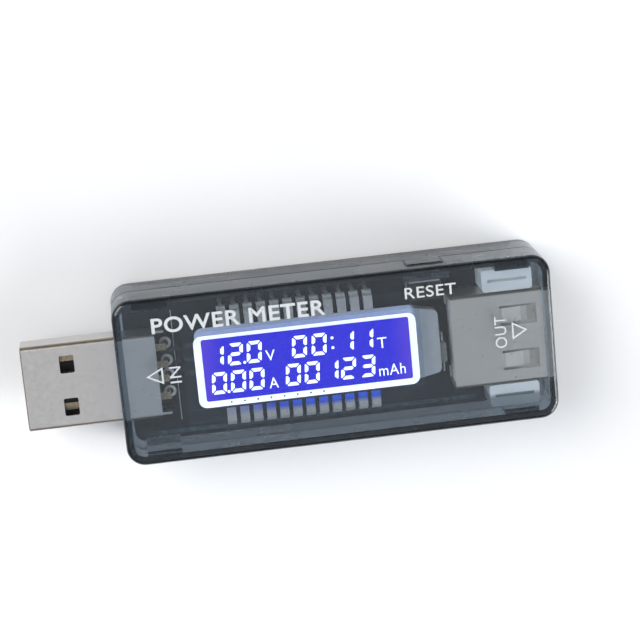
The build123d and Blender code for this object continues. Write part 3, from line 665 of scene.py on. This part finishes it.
arrow_reach = 26.4 * MM
arrow_stroke = 0.22 * MM
in_tip = body_x - arrow_reach
in_base = body_x - 24.05 * MM
out_tip = body_x + arrow_reach
out_base = body_x + 24.25 * MM
arrow_in = triangle_outline(in_tip, in_base, 0.85 * MM, 1.2 * MM, arrow_stroke)
arrow_out = triangle_outline(out_tip, out_base, 1.45 * MM, 1.25 * MM, arrow_stroke)
for name, bars in (("print_arrow_in", arrow_in), ("print_arrow_out", arrow_out)):
    add_piece(name, flat_slabs(name, bars, face_z, ink_thickness), ink)

# ---------------------------------------------------------------- board printing and copper

silk_thickness = 0.015 * MM
copper_thickness = 0.02 * MM
silk_width = 0.1 * MM
track_width = 0.3 * MM


def bar(start, end, width):
    """A straight strip between two points, with square ends."""
    first, last = Vector(start), Vector(end)
    along = (last - first).normalized() * (width / 2)
    side = Vector((-along.y, along.x))
    return [first - along - side, last + along - side, last + along + side, first - along + side]


def track(points, width):
    """A strip through several points, as one bar for each run."""
    return [bar(points[i], points[i + 1], width) for i in range(len(points) - 1)]


def frame_bars(low, high, width):
    """The four sides of a rectangle."""
    corners = [(low[0], low[1]), (high[0], low[1]), (high[0], high[1]), (low[0], high[1])]
    return track(corners + corners[:1], width)


mask_copper = solder_mask_over_copper()
silk_side = window_low.x - 3.6 * MM
silk_ends = [(silk_side, glass_low.y - 0.4 * MM), (silk_side, glass_high.y + 0.2 * MM)]
silk_mesh = flat_slabs("board_print_top", track(silk_ends, silk_width), board_high.z, silk_thickness)
add_piece("board_print_top", silk_mesh, ink)

chip_margin = 1.3 * MM
under = []
for low, high in ((chip_low, chip_high), (memory_low, memory_high)):
    frame_low = (low.x - chip_margin, low.y - chip_margin)
    frame_high = (high.x + chip_margin, high.y + chip_margin)
    under += frame_bars(frame_low, frame_high, silk_width)
silk_under = flat_slabs("board_print_under", under, board_low.z - silk_thickness, silk_thickness)
add_piece("board_print_under", silk_under, ink)

lane_count = 9
lane_pitch = 0.6 * MM
lane_lead = 1.4 * MM
lane_fan = 1.3
fine_width = track_width * 0.6
pin_count = 12
pin_row_x = window_x - 1.0 * MM
pin_row_y = 7.6 * MM
pin_knee_y = 6.1 * MM
pin_end_y = 5.2 * MM


def chip_lanes():
    """Tracks that fan out from the controller chip to the memory chip."""
    lanes = []
    for i in range(lane_count):
        step = (i - (lane_count - 1) / 2) * lane_pitch
        start = Vector((chip_high.x + lane_lead, chip_y + step))
        bend = start + Vector((lane_lead - abs(step) * 0.5, 0))
        rise = step * lane_fan
        knee = bend + Vector((abs(rise), rise))
        end = (memory_low.x - 1.5 * MM, knee.y)
        lanes += track([start, bend, knee, end], fine_width)
    return lanes


def pin_lanes(side):
    """A supply rail along one long edge, and tracks from the display pins towards the chip."""
    rail_y = side * (board_high.y - 1.1 * MM)
    rail = [(board_low.x + 3.5 * MM, rail_y), (board_high.x - 4.0 * MM, rail_y)]
    lanes = track(rail, 3 * track_width)
    for i in range(pin_count):
        place = i - (pin_count - 1) / 2
        pin_x = pin_row_x + place * pin_pitch
        start = (pin_x, side * pin_row_y)
        knee = (pin_x, side * pin_knee_y)
        end = (chip_x + place * lane_pitch, side * pin_end_y)
        lanes += track([start, knee, end], fine_width)
    return lanes


tracks = chip_lanes() + pin_lanes(-1) + pin_lanes(1)
tracks_mesh = flat_slabs("board_tracks_under", tracks, board_low.z - copper_thickness, copper_thickness)
add_piece("board_tracks_under", tracks_mesh, mask_copper)

upper_tracks = []
for lane_y in (2.2 * MM, 0.2 * MM, -1.8 * MM):
    start = (window_low.x - 5.2 * MM, lane_y)
    knee = (window_low.x - 2.6 * MM, lane_y + 0.5 * MM)
    end = (window_low.x, lane_y + 0.5 * MM)
    upper_tracks += track([start, knee, end], 2 * track_width)
for side in (-1, 1):
    edge_y = side * (board_high.y - 0.9 * MM)
    edge = [(board_low.x + 2 * MM, edge_y), (board_high.x - 9.5 * MM, edge_y)]
    upper_tracks += track(edge, 2 * track_width)
upper_mesh = flat_slabs("board_tracks_top", upper_tracks, board_high.z, copper_thickness)
add_piece("board_tracks_top", upper_mesh, mask_copper)

# ---------------------------------------------------------------- display segments

digit_width = 2.08 * MM
digit_height = 3.1 * MM
segment_stroke = 0.5 * MM
segment_gap = 0.06 * MM
segment_corner = 0.34 * MM
segment_lean = 0.09
segment_thickness = 0.01 * MM
segment_z = window_high.z + 0.005 * MM
dot_radius = 0.21 * MM

SEGMENTS = {
    "0": "abcdef",
    "1": "bc",
    "2": "abged",
    "3": "abgcd",
}


def segment_shapes():
    """Outlines of the seven bars of a digit about its middle, by letter, before it leans."""
    w = digit_width / 2
    h = digit_height / 2
    stroke = segment_stroke
    corner = segment_corner
    gap = segment_gap
    top = [(corner - w, h), (w - corner, h), (w - corner / 2 - gap, h - corner / 2 + gap)]
    top += [(w - stroke - 2 * gap, h - stroke), (stroke + 2 * gap - w, h - stroke)]
    top += [(corner / 2 + gap - w, h - corner / 2 + gap)]
    upper = [(w, h - corner), (w - corner / 2 + gap, h - corner / 2 - gap)]
    upper += [(w - stroke, h - stroke - 2 * gap), (w - stroke, stroke / 2 + 2 * gap)]
    upper += [(w - stroke / 2, 2 * gap), (w - gap, 2 * gap), (w, 4 * gap)]
    middle = [(w - stroke / 2 - gap, 0), (w - stroke - gap, stroke / 2), (stroke + gap - w, stroke / 2)]
    middle += [(stroke / 2 + gap - w, 0), (stroke + gap - w, -stroke / 2), (w - stroke - gap, -stroke / 2)]
    return {
        "a": top,
        "b": upper,
        "c": [(x, -y) for x, y in upper],
        "d": [(x, -y) for x, y in top],
        "e": [(-x, -y) for x, y in upper],
        "f": [(-x, y) for x, y in upper],
        "g": middle,
    }


def digit_outlines(character, centre_x, centre_y):
    """Outlines of a seven-segment digit's lit bars, centred on a point and leaning right."""
    shapes = segment_shapes()
    outlines = []
    for letter in SEGMENTS[character]:
        leaning = [(centre_x + x + segment_lean * y, centre_y + y) for x, y in shapes[letter]]
        outlines.append(leaning)
    return outlines


def dot_outline(centre_x, centre_y, radius, sides=16):
    """A small round spot."""
    outline = []
    for i in range(sides):
        angle = 2 * math.pi * i / sides
        outline.append((centre_x + radius * math.cos(angle), centre_y + radius * math.sin(angle)))
    return outline


# each reading: the middle of its row, its digits, and the middle of each digit from the window's
upper_row = 1.95 * MM
lower_row = -1.93 * MM
readings = [
    (upper_row, "120", (-12.45, -9.8, -7.2)),
    (upper_row, "0011", (-0.93, 1.8, 5.6, 8.3)),
    (lower_row, "000", (-12.4, -9.77, -7.2)),
    (lower_row, "00123", (-2.15, 0.48, 3.1, 5.55, 8.25)),
]
outlines = []
for row_y, figures, places in readings:
    for character, across in zip(figures, places):
        outlines += digit_outlines(character, window_x + across * MM, window_y + row_y)

foot = digit_height / 2 - dot_radius
colon_rise = 0.7 * MM
dots = [
    (-8.64, upper_row - foot),
    (-11.22, lower_row - foot),
    (3.65, upper_row + colon_rise),
    (3.65, upper_row - colon_rise),
]
for across, up in dots:
    outlines.append(dot_outline(window_x + across * MM, window_y + up, dot_radius))
digits_mesh = flat_slabs("display_digits", outlines, segment_z, segment_thickness)
add_piece("display_digits", digits_mesh, segment_light)

# each unit: piece name, letters, height, width, and its middle across and up from the window's
units = [
    ("unit_volt", "V", 1.5, 1.3, -5.05, 1.2),
    ("unit_time", "T", 1.5, 1.3, 10.5, 1.15),
    ("unit_ampere", "A", 1.5, 1.3, -4.93, -2.75),
    ("unit_charge", "mAh", 1.55, 3.7, 11.6, -2.8),
]
for name, words, height, width, across, up in units:
    spot = (window_x + across * MM, window_y + up * MM)
    size = (height * MM, width * MM)
    mesh = letter_mesh(name, words, *size, spot, 0.0, segment_z, segment_thickness, 0.0)
    add_piece(name, mesh, segment_light)

rim_thickness = 0.02 * MM
rim_corner = 1.1 * MM
rim_sides = {"left": 1.05 * MM, "right": 1.0 * MM, "upper": 0.5 * MM, "lower": 0.9 * MM}


def rounded_outline(low, high, radius, steps=8):
    """A rectangle with rounded corners, starting at its right-hand end and going round by the top."""
    centres = [(high[0] - radius, high[1] - radius), (low[0] + radius, high[1] - radius),
               (low[0] + radius, low[1] + radius), (high[0] - radius, low[1] + radius)]
    outline = []
    for quarter, (x, y) in enumerate(centres):
        for step in range(steps + 1):
            angle = (quarter + step / steps) * math.pi / 2
            outline.append((x + radius * math.cos(angle), y + radius * math.sin(angle)))
    return outline


def ring_mesh(name, outer, inner, z, thickness):
    """A flat ring between two outlines with the same number of points."""
    build = bmesh.new()
    loops = []
    for outline, height in ((outer, z), (outer, z + thickness), (inner, z + thickness), (inner, z)):
        loops.append([build.verts.new((x, y, height)) for x, y in outline])
    for loop, following in zip(loops, loops[1:] + loops[:1]):
        for i in range(len(loop)):
            j = (i + 1) % len(loop)
            build.faces.new((loop[i], loop[j], following[j], following[i]))
    bmesh.ops.recalc_face_normals(build, faces=build.faces)
    mesh = bpy.data.meshes.new(name)
    build.to_mesh(mesh)
    build.free()
    return mesh


rim_low = (window_low.x - rim_sides["left"], window_low.y - rim_sides["lower"])
rim_high = (window_high.x + rim_sides["right"], window_high.y + rim_sides["upper"])
rim_outer = rounded_outline(rim_low, rim_high, rim_corner)
rim_inner = rounded_outline((window_low.x, window_low.y), (window_high.x, window_high.y), 0.3 * MM)
rim_mesh = ring_mesh("display_rim", rim_outer, rim_inner, front_glass_top, rim_thickness)
add_piece("display_rim", rim_mesh, glowing_rim())

contact_count = 8
contact_radius = 0.13 * MM
contact_y = window_low.y - 0.42 * MM
rim_top = front_glass_top + rim_thickness
contact_dots = []
for i in range(contact_count):
    contact_x = window_x - 11.0 * MM + i * pin_pitch
    contact_dots.append(dot_outline(contact_x, contact_y, contact_radius))
dots_mesh = flat_slabs("display_contact_dots", contact_dots, rim_top, segment_thickness)
add_piece("display_contact_dots", dots_mesh, lacquer)

# ---------------------------------------------------------------- floor

floor_reach = 2.0
floor_thickness = 10 * MM
floor_gap = 0.05 * MM
corners = [(-floor_reach, -floor_reach), (floor_reach, -floor_reach)]
corners += [(floor_reach, floor_reach), (-floor_reach, floor_reach)]
floor_mesh = flat_slabs("floor", [corners], -floor_thickness - floor_gap, floor_thickness)
floor = bpy.data.objects.new("floor", floor_mesh)
floor_mesh.materials.append(floor_paper().data)
bpy.context.scene.collection.objects.link(floor)
